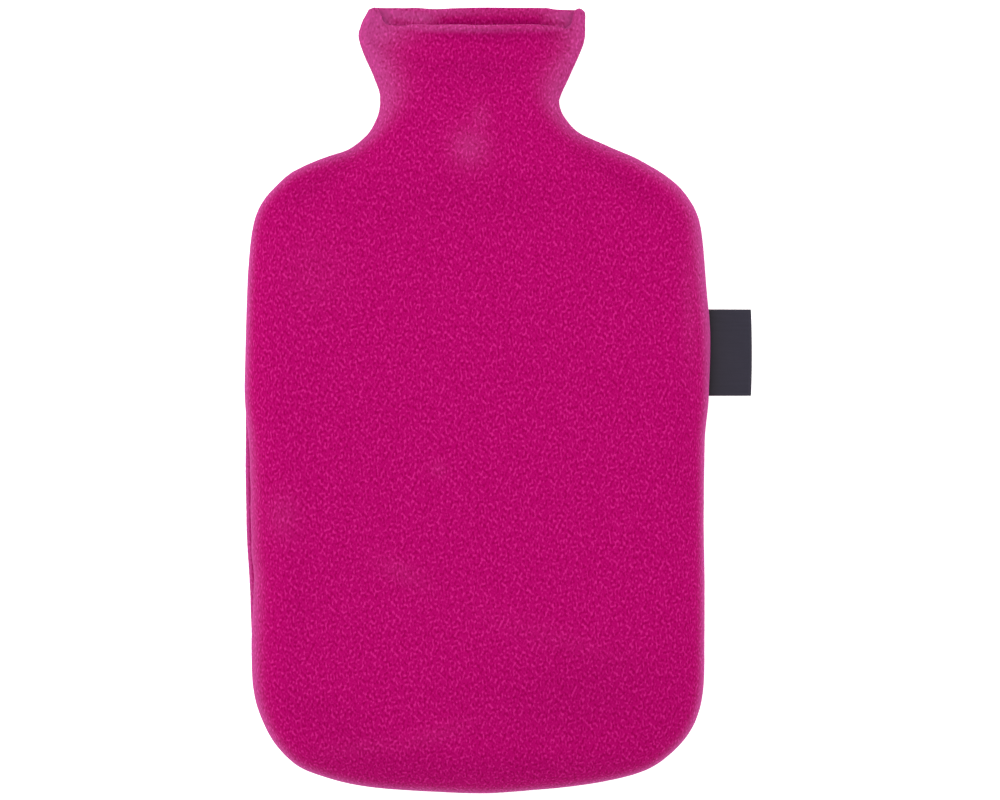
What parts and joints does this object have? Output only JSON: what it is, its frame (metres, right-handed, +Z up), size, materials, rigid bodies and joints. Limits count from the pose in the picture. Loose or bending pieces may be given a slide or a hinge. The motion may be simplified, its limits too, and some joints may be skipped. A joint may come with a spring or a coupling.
{
  "type": "hot water bottle cover",
  "caption": "Fleece hot water bottle cover lying on its back: two shaped panels seamed at the edge, open hemmed collar, bare folded label in the side seam.",
  "frame": {"origin": "on the flat underside of the back panel, below the middle of the body", "axes": "+Y from the foot towards the open collar, +Z up through the front, +X towards the side with the label"},
  "size_m": [0.2231, 0.3449, 0.042],
  "materials": {
    "front_fleece": "brushed polyester fleece, magenta pink, matt with a soft sheen at grazing angles",
    "back_fleece": "brushed polyester fleece, magenta pink, matt with a soft sheen at grazing angles",
    "label_satin": "woven satin ribbon, dark charcoal violet, bare"
  },
  "bodies": {
    "root": {"front_panel": "front_fleece", "back_panel": "back_fleece", "label": "label_satin"}
  },
  "joints": []
}
